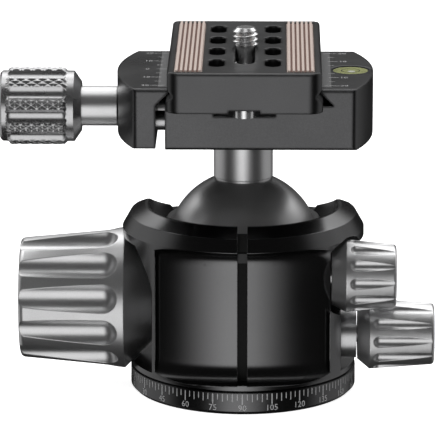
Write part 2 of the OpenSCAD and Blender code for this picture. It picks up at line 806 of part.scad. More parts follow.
module friction_pad() {
    color([0.9, 0.9, 0.85]) difference() {
        bar_x(fric_pad_x - fric_pad_l, fric_pad_x, fric_rod_r, -fric_y, fric_z);
        translate([0, 0, ball_z]) sphere(r = seat_r, $fn = 144);
    }
}

module pan_knob() {
    color([0.45, 0.45, 0.46]) translate([pan_in_x, -pan_y, pan_z]) rotate([0, 90, 0])
        fluted_knob(pan_l, pan_in_r, pan_cone_l, pan_crest_r, pan_end_r, small_round, pan_rod_r,
            pan_end_r - 2 * small_round, small_dish_d, small_flute_r, pan_end_r + small_flute_out,
            small_flute_in, -to_front - pan_turn);
}

module pan_boss() {
    color([0.6, 0.6, 0.6]) difference() {
        union() {
            bar_x(far_cheek_x, pan_in_x - move_gap, boss_r, -pan_y, pan_z);
            bar_x(far_cheek_x - boss_spigot_l, far_cheek_x, boss_spigot_r, -pan_y, pan_z);
        }
        bar_x(0, far, pan_rod_r + run_gap, -pan_y, pan_z);
    }
}

module pan_spindle() {
    color([0.65, 0.65, 0.66])
        bar_x(pan_pad_x, pan_in_x + pan_l - small_dish_d, pan_rod_r, -pan_y, pan_z);
}

module pan_brake_pad() {
    color([0.9, 0.9, 0.85]) difference() {
        bar_x(pan_pad_x - pan_pad_l, pan_pad_x, pan_rod_r, -pan_y, pan_z);
        cylinder(h = top_z, r = retainer_r + run_gap);
    }
}

// Half of the clamp's plan, from the middle to a bowed end with rounded corners
module end_plan(end_x) {
    mid = end_x - bow_r;
    round_y = clamp_half - clamp_round;
    round_x = mid + sqrt(pow(bow_r - clamp_round, 2) - round_y * round_y);
    reach = bow_r * 2 - mid;
    slope = round_y / (round_x - mid);
    intersection() {
        translate([mid, 0]) circle(r = bow_r, $fn = 180);
        translate([-over, -clamp_half]) square([end_x + 2 * over, 2 * clamp_half]);
        union() {
            translate([-over, -clamp_half]) square([round_x + over, 2 * clamp_half]);
            polygon([[0, mid * slope], [reach + mid, -reach * slope], [reach + mid, reach * slope],
                [0, -mid * slope]]);
            for (s = [-1, 1]) translate([round_x, s * round_y]) circle(r = clamp_round + press_gap);
        }
    }
}

module clamp_blank() {
    intersection() {
        translate([0, 0, neck_top]) linear_extrude(clamp_top - neck_top) {
            end_plan(clamp_end);
            mirror([1, 0]) end_plan(jaw_end);
        }
        run_x(-far, far) polygon([[clamp_edge - clamp_half, neck_top], [clamp_half - clamp_edge, neck_top],
            [clamp_half, neck_top + clamp_edge], [clamp_half, clamp_top - clamp_edge],
            [clamp_half - clamp_edge, clamp_top], [clamp_edge - clamp_half, clamp_top],
            [-clamp_half, clamp_top - clamp_edge], [-clamp_half, neck_top + clamp_edge]]);
    }
}

// Dovetail slot between the two noses
module clamp_slot() {
    run_y(-far, far) translate([clamp_x, 0]) polygon([[-slot_half, floor_z], [slot_half, floor_z],
        [nose_half, nose_z], [nose_half, clamp_top + over], [-nose_half, clamp_top + over],
        [-nose_half, nose_z]]);
}

module clamp_base() {
    color([0.08, 0.08, 0.08]) difference() {
        clamp_blank();
        clamp_slot();
        run_y(-far, far) polygon([[-far, 0], [-body_left, 0], [-body_left, floor_z], [0, floor_z],
            [0, clamp_top + over], [-far, clamp_top + over]]);
        for (s = [0, 180]) rotate([0, 0, s]) block([-channel_half + (s > 0 ? -clamp_x : clamp_x), channel_y,
            channel_z], [channel_half + (s > 0 ? -clamp_x : clamp_x), channel_end, clamp_top]);
        translate([0, 0, neck_top - over]) cylinder(h = neck_in + over, r = neck_r + run_gap);
        cylinder(h = clamp_top, r = bolt_r + run_gap);
        translate([0, 0, bolt_seat_z]) cylinder(h = clamp_top, r = bolt_head_r + run_gap);
        bar_x(-far, press_gap - screw_end + over, screw_r + run_gap, 0, screw_z);
        for (s = [-1, 1]) bar_x(-far, pin_deep - body_left, pin_r + press_gap, s * pin_y, screw_z);
        translate([level_x, 0, level_seat_z]) cylinder(h = level_d + over, r = level_r + press_gap);
    }
}

module clamp_bolt() {
    color([0.5, 0.5, 0.52]) difference() {
        union() {
            translate([0, 0, bolt_seat_z]) cylinder(h = bolt_head_h, r = bolt_head_r);
            translate([0, 0, bolt_seat_z - bolt_l]) cylinder(h = bolt_l, r = bolt_r);
        }
        translate([0, 0, bolt_seat_z + bolt_head_h / 2])
            cylinder(h = bolt_head_h, r = bolt_hex_r, $fn = 6);
    }
}

module moving_jaw() {
    color([0.08, 0.08, 0.08]) difference() {
        clamp_blank();
        run_y(-far, far) polygon([[-jaw_face, 0], [far, 0], [far, clamp_top + over],
            [clamp_x - nose_half, clamp_top + over], [clamp_x - nose_half, nose_z], [-jaw_face, floor_z]]);
        block([-far, -far, 0], [far, far, neck_top + jaw_lift]);
        bar_x(-far, far, screw_r + run_gap, 0, screw_z);
        for (s = [-1, 1]) bar_x(-jaw_face - pin_out - move_gap, far, pin_r + run_gap, s * pin_y, screw_z);
    }
}

module guide_pins() {
    color([0.7, 0.7, 0.72]) for (s = [-1, 1])
        bar_x(-jaw_face - pin_out, pin_deep - body_left, pin_r, s * pin_y, screw_z);
}

module clamp_screw() {
    color([0.5, 0.5, 0.5]) union() {
        bar_x(-grip_in_x - grip_slope, -jaw_end, sleeve_r, 0, screw_z);
        bar_x(-jaw_end, -screw_end, screw_r, 0, screw_z);
    }
}

module clamp_knob() {
    scoop_in = grip_cone_l + grip_collar_l / 2;
    scoop_out = grip_l - grip_collar_l / 2;
    color([0.35, 0.35, 0.35]) translate([-grip_in_x, 0, screw_z]) rotate([0, -90, 0]) difference() {
        rotate_extrude($fn = 144) polygon([[0, 0], [grip_cone_r, 0], [grip_collar_r, grip_cone_l],
            [grip_collar_r, grip_ridge_in], [grip_r, grip_ridge_in + grip_slope],
            [grip_r, grip_l - grip_collar_l - grip_slope], [grip_collar_r, grip_l - grip_collar_l],
            [grip_collar_r, grip_l - clamp_edge], [grip_collar_r - clamp_edge, grip_l], [0, grip_l]]);
        translate([0, 0, -over]) cylinder(h = grip_slope + over, r = sleeve_r + press_gap);
        for (i = [0:grip_n - 1]) rotate([0, 0, i * 360 / grip_n]) translate([grip_scoop_c, 0, 0]) {
            flute(scoop_in, scoop_out - grip_scoop_r, grip_scoop_r);
            translate([0, 0, scoop_out - grip_scoop_r]) sphere(r = grip_scoop_r);
        }
    }
}

module level_ring() {
    color([0.3, 0.3, 0.3]) translate([level_x, 0, level_seat_z]) difference() {
        cylinder(h = level_d, r = level_r);
        translate([0, 0, level_floor]) cylinder(h = level_d, r = level_r - level_wall);
    }
}

module level_vial() {
    color([0.75, 0.85, 0.2]) translate([level_x, 0, level_seat_z + level_floor])
        cylinder(h = level_d - level_floor - vial_low, r = level_r - level_wall - press_gap);
}

// Slot with round ends, along Y
module round_slot(w, l, low, high) {
    translate([0, 0, low]) linear_extrude(high - low) {
        translate([-w / 2, (w - l) / 2]) square([w, l - w]);
        for (s = [-1, 1]) translate([0, s * (l - w) / 2]) circle(r = w / 2);
    }
}

module plate_blank() {
    intersection() {
        run_y(-plate_half, plate_half) polygon([[-lip_half, plate_z], [lip_half, plate_z],
            [lip_half, lip_top], [waist_half, waist_z], [waist_half, waist_z + waist_h],
            [plate_wide, wide_z], [plate_wide, plate_top - plate_edge],
            [plate_wide - plate_edge, plate_top], [plate_edge - plate_wide, plate_top],
            [-plate_wide, plate_top - plate_edge], [-plate_wide, wide_z],
            [-waist_half, waist_z + waist_h], [-waist_half, waist_z], [-lip_half, lip_top]]);
        run_x(-far, far) polygon([[-plate_half, plate_z], [plate_half, plate_z],
            [plate_half, plate_top - plate_edge], [plate_half - plate_edge, plate_top],
            [plate_edge - plate_half, plate_top], [-plate_half, plate_top - plate_edge]]);
        translate([0, 0, plate_z]) linear_extrude(plate_top - plate_z) {
            translate([-lip_half, plate_round - plate_half])
                square([2 * lip_half, 2 * (plate_half - plate_round)]);
            translate([plate_round - lip_half, -plate_half])
                square([2 * (lip_half - plate_round), 2 * plate_half]);
            for (sx = [-1, 1]) for (sy = [-1, 1])
                translate([sx * (lip_half - plate_round), sy * (plate_half - plate_round)])
                    circle(r = plate_round);
        }
    }
}

module qr_plate() {
    head_w = 2 * (cam_head_r + move_gap);
    color([0.1, 0.1, 0.1]) translate([clamp_x, 0, 0]) difference() {
        plate_blank();
        for (s = [-1, 1]) for (i = [-1.5:1:1.5]) translate([s * hole_x, hole_mid + i * hole_step, 0])
            round_slot(hole_w, hole_l, plate_z - over, plate_top + over);
        round_slot(slot_w, slot_l, plate_z - over, plate_top + over);
        round_slot(head_w, slot_l + head_w - slot_w, plate_z - over, cam_seat_z);
        block([-under_w / 2, -far, plate_z - over], [under_w / 2, far, under_z]);
        for (s = [-1, 1]) translate([0, s * stop_y, plate_z])
            cylinder(h = under_d + stop_l, r = stop_thread_r + press_gap);
        for (s = [-1, 1]) translate([s * strip_x, 0, 0])
            block([-strip_w / 2 - run_gap, -strip_half - run_gap, plate_top - strip_d],
                [strip_w / 2 + run_gap, strip_half + run_gap, plate_top + over]);
    }
}

// Ribbed strip with a rounded end on each rib
module strip() {
    pitch = strip_w / rib_n;
    groove_z = plate_top + strip_h - strip_groove_d;
    block([-strip_w / 2, pitch / 2 - strip_half, plate_top - strip_d],
        [strip_w / 2, strip_half - pitch / 2, groove_z]);
    for (i = [0:rib_n - 1]) translate([(i + 0.5) * pitch - strip_w / 2, 0, 0])
        round_slot(pitch - strip_groove_w, 2 * strip_half, plate_top - strip_d, plate_top + strip_h);
}

module grip_strips() {
    color([0.72, 0.6, 0.55]) for (s = [-1, 1]) translate([clamp_x + s * strip_x, 0, 0]) strip();
}

module camera_screw() {
    color([0.85, 0.85, 0.86]) translate([clamp_x, 0, 0]) difference() {
        union() {
            translate([0, 0, cam_seat_z - cam_head_h]) cylinder(h = cam_head_h, r = cam_head_r);
            translate([0, 0, cam_seat_z]) cylinder(h = cam_foot - cam_seat_z, r = cam_shank_r);
            translate([0, 0, cam_foot]) cylinder(h = cam_top - cam_foot - cam_tip, r = cam_r);
            translate([0, 0, cam_top - cam_tip]) cylinder(h = cam_tip, r1 = cam_r, r2 = cam_r - cam_tip);
        }
        block([-cam_head_r - over, -coin_w / 2, 0], [cam_head_r + over, coin_w / 2,
            cam_seat_z - cam_head_h + coin_d]);
    }
}

module stop_screws() {
    color([0.8, 0.8, 0.82]) for (s = [-1, 1]) translate([clamp_x, s * stop_y, 0]) difference() {
        union() {
            translate([0, 0, stop_z]) cylinder(h = under_z - stop_z, r = stop_r);
            translate([0, 0, under_z]) cylinder(h = stop_l - move_gap, r = stop_thread_r);
        }
        translate([0, 0, stop_z - over]) cylinder(h = under_d + over, r = stop_hex_r, $fn = 6);
    }
}

pan_base();
thread_bush();
pan_glide_ring();
pan_retainer();
retainer_screws();
housing();
ball_cup();
seat_ring();
ball_stem();
main_knob();
main_spindle();
main_cap_screw();
friction_knob();
friction_spindle();
friction_pad();
pan_knob();
pan_boss();
pan_spindle();
pan_brake_pad();
clamp_base();
clamp_bolt();
moving_jaw();
guide_pins();
clamp_screw();
clamp_knob();
level_ring();
level_vial();
qr_plate();
grip_strips();
camera_screw();
stop_screws();
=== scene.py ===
import math
import bpy
import json
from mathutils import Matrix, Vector


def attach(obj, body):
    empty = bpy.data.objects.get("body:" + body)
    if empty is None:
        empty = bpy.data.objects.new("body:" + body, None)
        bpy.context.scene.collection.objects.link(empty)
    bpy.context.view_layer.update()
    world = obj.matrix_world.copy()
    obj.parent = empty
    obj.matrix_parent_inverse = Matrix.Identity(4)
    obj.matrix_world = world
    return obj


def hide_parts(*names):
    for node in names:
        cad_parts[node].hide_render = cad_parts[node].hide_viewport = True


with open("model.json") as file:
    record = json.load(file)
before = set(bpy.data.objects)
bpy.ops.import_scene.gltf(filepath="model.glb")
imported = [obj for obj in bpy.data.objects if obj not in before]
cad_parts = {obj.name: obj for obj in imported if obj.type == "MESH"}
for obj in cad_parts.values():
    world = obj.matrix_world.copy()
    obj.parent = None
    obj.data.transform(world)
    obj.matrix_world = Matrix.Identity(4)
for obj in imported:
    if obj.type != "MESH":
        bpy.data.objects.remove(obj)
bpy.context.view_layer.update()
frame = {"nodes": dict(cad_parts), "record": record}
MM = 0.001

# Sizes shared with the solids, in millimetres
BASE_R = 28.25
SHELF_Z = 7.5
CLAMP_X, CLAMP_TOP = 0.45, 81.0
SCREW_Z = 71.7
LEVEL_X, LEVEL_R, VIAL_Z = 26.55, 4.68, 80.85
PLATE_TOP = 86.86
STRIP_X, STRIP_W, STRIP_HALF, RIBS = 13.6, 6.7, 30.0, 6

# The part of a noise's output that carries most of its variation
NOISE_LOW, NOISE_HIGH = 0.3, 0.7


# Shader building blocks

def node(tree, kind, **values):
    n = tree.nodes.new(kind)
    for key, value in values.items():
        setattr(n, key, value)
    return n


def math_node(tree, op, *values):
    n = node(tree, "ShaderNodeMath", operation=op)
    for i, value in enumerate(values):
        if isinstance(value, (int, float)):
            n.inputs[i].default_value = value
        else:
            tree.links.new(value, n.inputs[i])
    return n.outputs[0]


def noise(tree, where, scale, detail=3.0):
    n = node(tree, "ShaderNodeTexNoise")
    n.inputs["Scale"].default_value = scale
    n.inputs["Detail"].default_value = detail
    tree.links.new(where, n.inputs["Vector"])
    return n.outputs["Fac"]


def spread(tree, value, low, high):
    """Noise stretched to run from low to high."""
    n = node(tree, "ShaderNodeMapRange")
    n.inputs["From Min"].default_value = NOISE_LOW
    n.inputs["From Max"].default_value = NOISE_HIGH
    n.inputs["To Min"].default_value = low
    n.inputs["To Max"].default_value = high
    tree.links.new(value, n.inputs["Value"])
    return n.outputs["Result"]


def rings(tree, where, axis, pitch):
    """Fine tool marks, one each pitch (in millimetres) along one axis."""
    sep = node(tree, "ShaderNodeSeparateXYZ")
    tree.links.new(where, sep.inputs[0])
    turns = math_node(tree, "MULTIPLY", sep.outputs[axis], 2 * math.pi / (pitch * MM))
    return math_node(tree, "SINE", turns)


def worn_edges(tree, shade, eased, patchy, worn):
    """Lighter metal where an edge is rubbed: the eased normal leaves the true one there."""
    gain, most, cool = 6.0, 0.6, 1.01
    true = node(tree, "ShaderNodeNewGeometry").outputs["True Normal"]
    dot = node(tree, "ShaderNodeVectorMath", operation="DOT_PRODUCT")
    tree.links.new(eased, dot.inputs[0])
    tree.links.new(true, dot.inputs[1])
    turn = math_node(tree, "SUBTRACT", 1.0, dot.outputs["Value"])
    amount = math_node(tree, "MULTIPLY", turn, math_node(tree, "MULTIPLY", patchy, gain))
    clipped = math_node(tree, "MINIMUM", amount, most)
    mix = node(tree, "ShaderNodeMix", data_type="RGBA")
    tree.links.new(clipped, mix.inputs[0])
    tree.links.new(shade, mix.inputs[6])
    mix.inputs[7].default_value = (worn, worn, worn * cool, 1)
    return mix.outputs[2]


def surface(name, color, metallic=0.0, rough=0.4, bevel=0.15, grain=0.004, grain_scale=3000.0,
            tone=0.05, rough_vary=0.03, worn=None, turned=None, coat=0.0, spec=0.5):
    """Fine-grained finish: varied tone and gloss, grain in relief, eased and worn edges.

    bevel and grain are in millimetres, worn is the grey of a rubbed edge, and turned gives tool
    marks as (axis, pitch, amount).
    """
    broad_scale, broad_detail, coat_rough, bevel_samples = 60.0, 4.0, 0.05, 6
    m = bpy.data.materials.new(name)
    m.use_nodes = True
    t = m.node_tree
    t.nodes.clear()
    out = node(t, "ShaderNodeOutputMaterial")
    b = node(t, "ShaderNodeBsdfPrincipled")
    t.links.new(b.outputs[0], out.inputs[0])
    b.inputs["Metallic"].default_value = metallic
    b.inputs["Specular IOR Level"].default_value = spec
    b.inputs["Coat Weight"].default_value = coat
    b.inputs["Coat Roughness"].default_value = coat_rough
    where = node(t, "ShaderNodeTexCoord").outputs["Object"]
    fine = noise(t, where, grain_scale)
    broad = noise(t, where, broad_scale, broad_detail)
    ramp = node(t, "ShaderNodeValToRGB")
    dark, light = ramp.color_ramp.elements
    dark.position, light.position = NOISE_LOW, NOISE_HIGH
    dark.color = (*[c * (1 - tone) for c in color], 1)
    light.color = (*[min(1.0, c * (1 + tone)) for c in color], 1)
    t.links.new(fine, ramp.inputs["Fac"])
    shade = ramp.outputs["Color"]
    t.links.new(spread(t, broad, rough - rough_vary, rough + rough_vary), b.inputs["Roughness"])
    eased = node(t, "ShaderNodeBevel", samples=bevel_samples)
    eased.inputs["Radius"].default_value = bevel * MM
    if worn:
        shade = worn_edges(t, shade, eased.outputs[0], broad, worn)
    t.links.new(shade, b.inputs["Base Color"])
    height = fine
    if turned:
        axis, pitch, amount = turned
        height = math_node(t, "MULTIPLY_ADD", rings(t, where, axis, pitch), amount, fine)
    bump = node(t, "ShaderNodeBump")
    bump.inputs["Strength"].default_value = 1.0
    bump.inputs["Distance"].default_value = grain * MM
    t.links.new(height, bump.inputs["Height"])
    t.links.new(eased.outputs[0], bump.inputs["Normal"])
    t.links.new(bump.outputs[0], b.inputs["Normal"])
    return m


# Materials

MAT = {}


def finish(name, color, **look):
    MAT[name] = surface(name, color, **look)


# Anodised metal
TITANIUM = dict(color=(0.75, 0.75, 0.755), metallic=0.88, rough=0.34, bevel=0.4, grain_scale=5200,
                worn=0.65)
finish("body_black", (0.155, 0.155, 0.157), metallic=1.0, rough=0.22, bevel=0.25,
       grain_scale=5000, worn=0.3)
finish("dial_black", (0.13, 0.13, 0.132), metallic=1.0, rough=0.26, bevel=0.2,
       grain_scale=5000, worn=0.3)
finish("clamp_black", (0.095, 0.095, 0.097), metallic=0.95, rough=0.3, bevel=0.9, grain=0.006,
       grain_scale=4200, tone=0.1, worn=0.12)
finish("titanium_grey", **TITANIUM)
finish("knurl_grey", (0.55, 0.55, 0.555), metallic=0.9, rough=0.28, bevel=0.12, grain=0.003,
       grain_scale=5200, worn=0.7)

# Steel
finish("bright_steel", (0.88, 0.88, 0.885), metallic=0.8, rough=0.16, bevel=0.12, grain=0.002,
       tone=0.03, rough_vary=0.02)
finish("plain_steel", (0.6, 0.6, 0.605), metallic=0.9, rough=0.3, grain=0.003,
       turned=("X", 0.25, 0.5))
finish("dark_steel", (0.06, 0.06, 0.065), metallic=1.0, rough=0.35, bevel=0.2)

# Plastic, rubber, the painted shade of the strips' gaps, and the level
finish("pale_plastic", (0.75, 0.74, 0.70), rough=0.5, bevel=0.2, grain=0.01, grain_scale=2500)
finish("dark_plastic", (0.012, 0.012, 0.013), bevel=0.2, grain=0.008, grain_scale=2500, tone=0.1)
finish("strip_rubber", (0.54, 0.445, 0.40), rough=0.7, bevel=0.12, grain=0.02, grain_scale=2200,
       tone=0.1)
# Painted shade for the strips' gaps: a darker rubber tone
finish("strip_gap", (0.2, 0.12, 0.1), rough=0.8, bevel=0.05, grain=0.01, grain_scale=2200,
       tone=0.2)
finish("level_green", (0.38, 0.40, 0.19), rough=0.15, bevel=0.05, grain=0.001, grain_scale=600,
       tone=0.12, coat=0.3)
finish("bubble", (0.93, 0.95, 0.85), rough=0.1, bevel=0.05, grain=0.001, grain_scale=600, coat=1.0)

# Printed and engraved marks, and near-black for the level's rings and the index groove's floor
PRINT = dict(rough=0.6, bevel=0.02, grain=0.003, grain_scale=1500, tone=0.12)
finish("mark", (0.62, 0.62, 0.63), **PRINT)
finish("ruler", (0.5, 0.5, 0.505), **PRINT)
finish("faint", (0.13, 0.13, 0.132), metallic=0.3, rough=0.5, bevel=0.02, grain=0.01,
       grain_scale=4200, tone=0.1)
finish("shade", (0.008, 0.008, 0.008), rough=0.5, bevel=0.02, grain=0.003, grain_scale=1500,
       tone=0.2, spec=0.15)


def coated_ball():
    """Grey turned stem whose ball, below the neck, carries painted shade: its colour is scaled
    darker there.
    """
    neck_foot, dark = 53.7, 0.74
    m = surface("ball_grey", **TITANIUM)
    t = m.node_tree
    b = next(n for n in t.nodes if n.type == "BSDF_PRINCIPLED")
    shade = b.inputs["Base Color"].links[0].from_socket
    place = node(t, "ShaderNodeSeparateXYZ")
    t.links.new(node(t, "ShaderNodeTexCoord").outputs["Object"], place.inputs[0])
    # Painted shade: below the neck's foot the ball's colour is scaled down by dark
    above = math_node(t, "GREATER_THAN", place.outputs["Z"], neck_foot * MM)
    coat = node(t, "ShaderNodeVectorMath", operation="SCALE")
    t.links.new(shade, coat.inputs[0])
    t.links.new(math_node(t, "MULTIPLY_ADD", above, 1 - dark, dark), coat.inputs["Scale"])
    t.links.new(coat.outputs[0], b.inputs["Base Color"])
    return m


slots = {s["node"]: s["material_slot"] for s in frame["record"]["subparts"]}
for name, obj in frame["nodes"].items():
    obj.data.materials.clear()
    obj.data.materials.append(MAT[slots[name]])
# The ball below the neck gets painted shade
frame["nodes"]["ball_stem"].data.materials[0] = coated_ball()


# Mesh building blocks

def piece(name, verts, faces, mat, body, smooth=None):
    """Mesh in millimetres; smooth is the angle in degrees past which an edge stays sharp."""
    me = bpy.data.meshes.new(name)
    me.from_pydata([[c * MM for c in v] for v in verts], [], faces)
    me.update()
    if smooth:
        me.shade_smooth()
        me.set_sharp_from_angle(angle=math.radians(smooth))
    ob = bpy.data.objects.new(name, me)
    bpy.context.collection.objects.link(ob)
    me.materials.append(MAT[mat])
    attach(ob, body)
    return ob


class Sheet:
    """Flat faces gathered through a function that lays (across, up) on the part."""

    def __init__(self, lay):
        self.lay, self.verts, self.faces = lay, [], []

    def patch(self, x0, x1, y0, y1, cuts=1):
        """Rectangle, in cuts strips across so that it follows a round part."""
        k = len(self.verts)
        for i in range(cuts + 1):
            x = x0 + (x1 - x0) * i / cuts
            self.verts += [self.lay(x, y0), self.lay(x, y1)]
        for i in range(cuts):
            a = k + 2 * i
            self.faces.append((a, a + 2, a + 3, a + 1))

    def number(self, text, x, y, size):
        """Digits as flat faces, centred on x and y."""
        curve = bpy.data.curves.new("digits", "FONT")
        curve.body = text
        curve.size = size
        curve.align_x = "CENTER"
        curve.align_y = "CENTER"
        curve.resolution_u = 2
        ob = bpy.data.objects.new("digits", curve)
        bpy.context.collection.objects.link(ob)
        bpy.context.view_layer.update()
        me = ob.to_mesh()
        k = len(self.verts)
        self.verts += [self.lay(x + p.co[0], y + p.co[1]) for p in me.vertices]
        self.faces += [tuple(k + j for j in p.vertices) for p in me.polygons]
        ob.to_mesh_clear()
        bpy.data.objects.remove(ob)
        bpy.data.curves.remove(curve)

    def disc(self, x, y, r_out, r_in=0.0, count=48):
        """Full disc, or a ring where r_in is given."""
        ring = [(math.cos(2 * math.pi * i / count), math.sin(2 * math.pi * i / count))
                for i in range(count)]
        k = len(self.verts)
        self.verts += [self.lay(x + r_out * c, y + r_out * s) for c, s in ring]
        if not r_in:
            self.faces.append(tuple(range(k, k + count)))
            return
        self.verts += [self.lay(x + r_in * c, y + r_in * s) for c, s in ring]
        for i in range(count):
            j = (i + 1) % count
            self.faces.append((k + i, k + j, k + count + j, k + count + i))

    def build(self, name, mat, body):
        return piece(name, self.verts, self.faces, mat, body)


def skin(name, count, rows, place, mat, body, smooth):
    """Closed skin of revolution: place(angle, row) gives each point; the ends are capped."""
    verts, faces = [], []
    for row in rows:
        for i in range(count):
            verts.append(place(2 * math.pi * i / count, row))
    for k in range(len(rows) - 1):
        for i in range(count):
            j = (i + 1) % count
            a, b = k * count, (k + 1) * count
            faces.append((a + i, a + j, b + j, b + i))
    faces.append(tuple(reversed(range(count))))
    faces.append(tuple(range(len(verts) - count, len(verts))))
    return piece(name, verts, faces, mat, body, smooth)


def steps(low, high, size):
    """Even stations from low to high, both ends included."""
    n = max(1, round((high - low) / size))
    return [low + (high - low) * i / n for i in range(n + 1)]


def saw(turn):
    """0 at whole turns, 1 halfway between them."""
    return 1 - abs(2 * (turn - math.floor(turn)) - 1)


# Printed and engraved marks, painted shade in the strips' gaps, and a dark floor in the index
# groove

def dial_marks():
    """Scale round the panning disc: a tick each 2.5 degrees and a number each 15."""
    degrees, per_number, front, ahead = 2.5, 6, 90, 0.05
    tick_top, number_low, even_low, odd_low = 5.35, 2.75, 3.35, 3.85
    number_half, tick_half, digits_z, digits_size = 0.15, 0.11, 1.75, 2.15
    lift, cuts = 0.012, 2
    r = BASE_R + lift

    def lay(x, z):
        a = x / BASE_R - math.pi / 2
        return (r * math.cos(a), r * math.sin(a), z)

    dial = Sheet(lay)
    step = math.radians(degrees) * BASE_R
    half_turn = round(180 / degrees)
    for i in range(-half_turn, half_turn):
        x = (i + ahead) * step
        main = i % per_number == 0
        half = number_half if main else tick_half
        low = number_low if main else (even_low if i % 2 == 0 else odd_low)
        dial.patch(x - half, x + half, low, tick_top, cuts)
        if main:
            dial.number(str(int(front + i * degrees) % 360), x, digits_z, digits_size)
    dial.build("dial_marks", "mark", "base")


def clamp_marks():
    """Ruler on each side of the slot: a lighter band, ticks across it and numbers."""
    band_in, band_out, band_near, band_far = 18.5, 21.15, -20.2, 21.2
    step, zero_y, ticks_each_way, value_step = 4.76, 0.55, 4, 5
    long_in, short_in, long_out, short_out, tick_half = 19.4, 20.6, 23.05, 22.1, 0.13
    digits_x, digits_size = 24.3, 2.0
    band_lift, mark_lift = 0.006, 0.012
    for body, side in (("clamp", 1), ("jaw", -1)):
        band = Sheet(lambda x, y: (CLAMP_X + side * x, y, CLAMP_TOP + band_lift))
        band.patch(band_in, band_out, band_near, band_far)
        lines = Sheet(lambda x, y: (CLAMP_X + side * x, y, CLAMP_TOP + mark_lift))
        words = Sheet(lambda x, y: (CLAMP_X + x, y, CLAMP_TOP + mark_lift))
        for i in range(-ticks_each_way, ticks_each_way + 1):
            y = zero_y + i * step
            # The level takes the place of the clamp's own zero
            if side > 0 and i == 0:
                continue
            out = long_out if i % 2 == 0 and i else short_out
            lines.patch(long_in if i % 4 == 0 else short_in, out, y - tick_half, y + tick_half)
            if i % 2 == 0:
                words.number(str(abs(i) * value_step), side * digits_x, y, digits_size)
        band.build(body + "_band", "faint", body)
        lines.build(body + "_ticks", "ruler", body)
        words.build(body + "_numbers", "ruler", body)


def level_marks():
    """Bubble, the ring printed on the level's glass, and a dark ring round the glass's edge."""
    inner_r, inner_w, rim_w = 2.35, 0.25, 0.35
    bubble_x, bubble_y, bubble_r = 0.2, -1.0, 0.95
    ring_lift, bubble_lift = 0.01, 0.02
    glass = Sheet(lambda x, y: (LEVEL_X + x, y, VIAL_Z + ring_lift))
    glass.disc(0, 0, inner_r, inner_r - inner_w)
    glass.disc(0, 0, LEVEL_R, LEVEL_R - rim_w)
    glass.build("level_rings", "shade", "clamp")
    air = Sheet(lambda x, y: (LEVEL_X + x, y, VIAL_Z + bubble_lift))
    air.disc(bubble_x, bubble_y, bubble_r)
    air.build("level_bubble", "bubble", "clamp")


def strip_groove_shade():
    """Painted shade: a dark sheet on the floor of the grooves between the strips' ribs."""
    depth, half, end = 0.14, 0.24, 0.6
    pitch = STRIP_W / RIBS
    for side, name in ((-1, "left"), (1, "right")):
        gaps = Sheet(lambda x, y: (CLAMP_X + side * STRIP_X + x, y, PLATE_TOP - depth))
        for i in range(1, RIBS):
            x = i * pitch - STRIP_W / 2
            gaps.patch(x - half, x + half, end - STRIP_HALF, STRIP_HALF - end)
        gaps.build("strip_groove_shade_" + name, "strip_gap", "plate")


def index_line():
    """Dark floor of the index groove down the front pocket and the rim."""
    floor_y, half, top, lift = -23.31, 1.19, 44.9, 0.02
    line = Sheet(lambda x, z: (x, floor_y, z))
    line.patch(-half, half, SHELF_Z + lift, top)
    line.build("index_line", "shade", "housing")


# Pieces that stand for a plainer solid

def camera_screw():
    """Camera screw with its thread cut: head, plain shank, 1/4 inch thread and tip."""
    seat_gap = 0.02
    head_low, head_top, foot, top = 78.2, 80.8 - seat_gap, 87.3, 91.8
    head_r, shank_r, crest_r, tip = 6.5, 2.3, 3.175, 1.0
    pitch, depth, start_z = 1.27, 0.76, 89.87
    flank, crest_flat = 1.15, 0.1
    run_in, run_in_slope, run_in_depth = 0.4, 2.5, 0.3
    coin_half, coin_top = 0.7, 79.4
    count, arc_parts, sharp = 96, 40, 35

    def thread_r(angle, z):
        turn = (z - start_z) / pitch - (angle + math.pi / 2) / (2 * math.pi)
        r = crest_r - depth * min(1.0, max(0.0, saw(turn) * flank - crest_flat))
        r = min(r, crest_r - tip + (top - z))
        if z < foot + run_in:
            r = max(shank_r - run_in_depth, min(r, shank_r + (z - foot) * run_in_slope))
        return r

    plain = [(coin_top, head_r), (head_top, head_r), (head_top, shank_r), (foot, shank_r)]
    rows = [(z, lambda a, r=r: r) for z, r in plain]
    fine = 0.06
    rows += [(z, lambda a, z=z: thread_r(a, z)) for z in steps(foot, top, fine)[1:]]

    def place(angle, row):
        z, radius = row
        r = radius(angle)
        return (CLAMP_X + r * math.cos(angle), r * math.sin(angle), z)

    screw = skin("camera_screw_thread", count, rows, place, "bright_steel",
                 "camera_screw", sharp)
    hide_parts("camera_screw")

    # The head's lower part, in two halves with the coin slot between them
    edge = math.asin(coin_half / head_r)
    arc = [edge + (math.pi - 2 * edge) * i / arc_parts for i in range(arc_parts + 1)]
    verts, faces = [], []
    for side in (1, -1):
        outline = [(CLAMP_X + head_r * math.cos(a), side * head_r * math.sin(a)) for a in arc]
        k, n = len(verts), len(outline)
        verts += [(x, y, head_low) for x, y in outline] + [(x, y, coin_top) for x, y in outline]
        faces.append(tuple(range(k, k + n)))
        for i in range(n):
            j = (i + 1) % n
            faces.append((k + i, k + j, k + n + j, k + n + i))
    piece("camera_screw_head", verts, faces, "bright_steel", "camera_screw", sharp)


